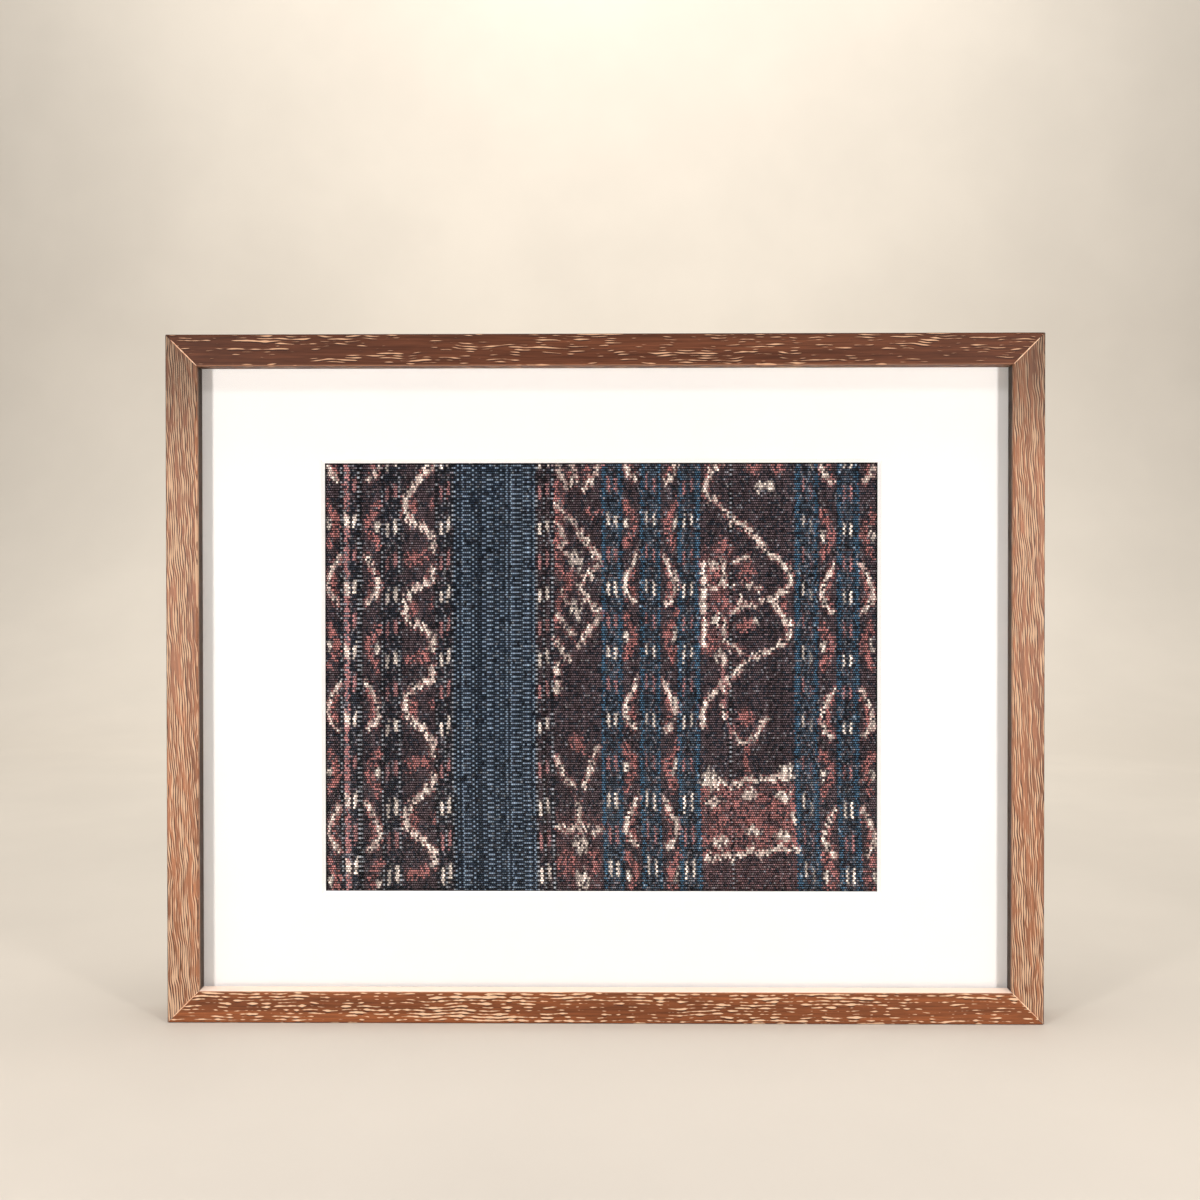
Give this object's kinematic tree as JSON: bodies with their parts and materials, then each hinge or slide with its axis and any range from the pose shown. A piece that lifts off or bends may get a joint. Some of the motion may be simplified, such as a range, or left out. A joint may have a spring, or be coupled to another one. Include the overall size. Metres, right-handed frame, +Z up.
{
  "type": "ikat textile in an oak frame",
  "caption": "Flat length of striped warp ikat behind a clear pane and a white bevel-cut window mat, in a mitred brown oak frame that stands upright on its lower rail.",
  "frame": {"origin": "under the middle of the bottom rail, on the surface that the frame stands on", "axes": "+Z up, +X to the right as seen from the front, the face towards -Y and the open back towards +Y"},
  "size_m": [0.482, 0.03, 0.379],
  "materials": {
    "ikat_cloth": "matt warp-faced cotton, indigo, brown-black, rust and cream",
    "mat_board": "matt white board with a white core",
    "glazing": "clear, polished",
    "backing_board": "smooth brown hardboard",
    "oak": "brown stain with pale filled pores, satin",
    "points": "bright zinc"
  },
  "bodies": {
    "root": {"cloth": "ikat_cloth", "mat": "mat_board", "glazing": "glazing", "backing": "backing_board", "rail_top": "oak", "rail_bottom": "oak", "rail_left": "oak", "rail_right": "oak", "point_top_1": "points", "point_top_2": "points", "point_top_3": "points", "point_bottom_1": "points", "point_bottom_2": "points", "point_bottom_3": "points", "point_left_1": "points", "point_left_2": "points", "point_right_1": "points", "point_right_2": "points"}
  },
  "joints": []
}
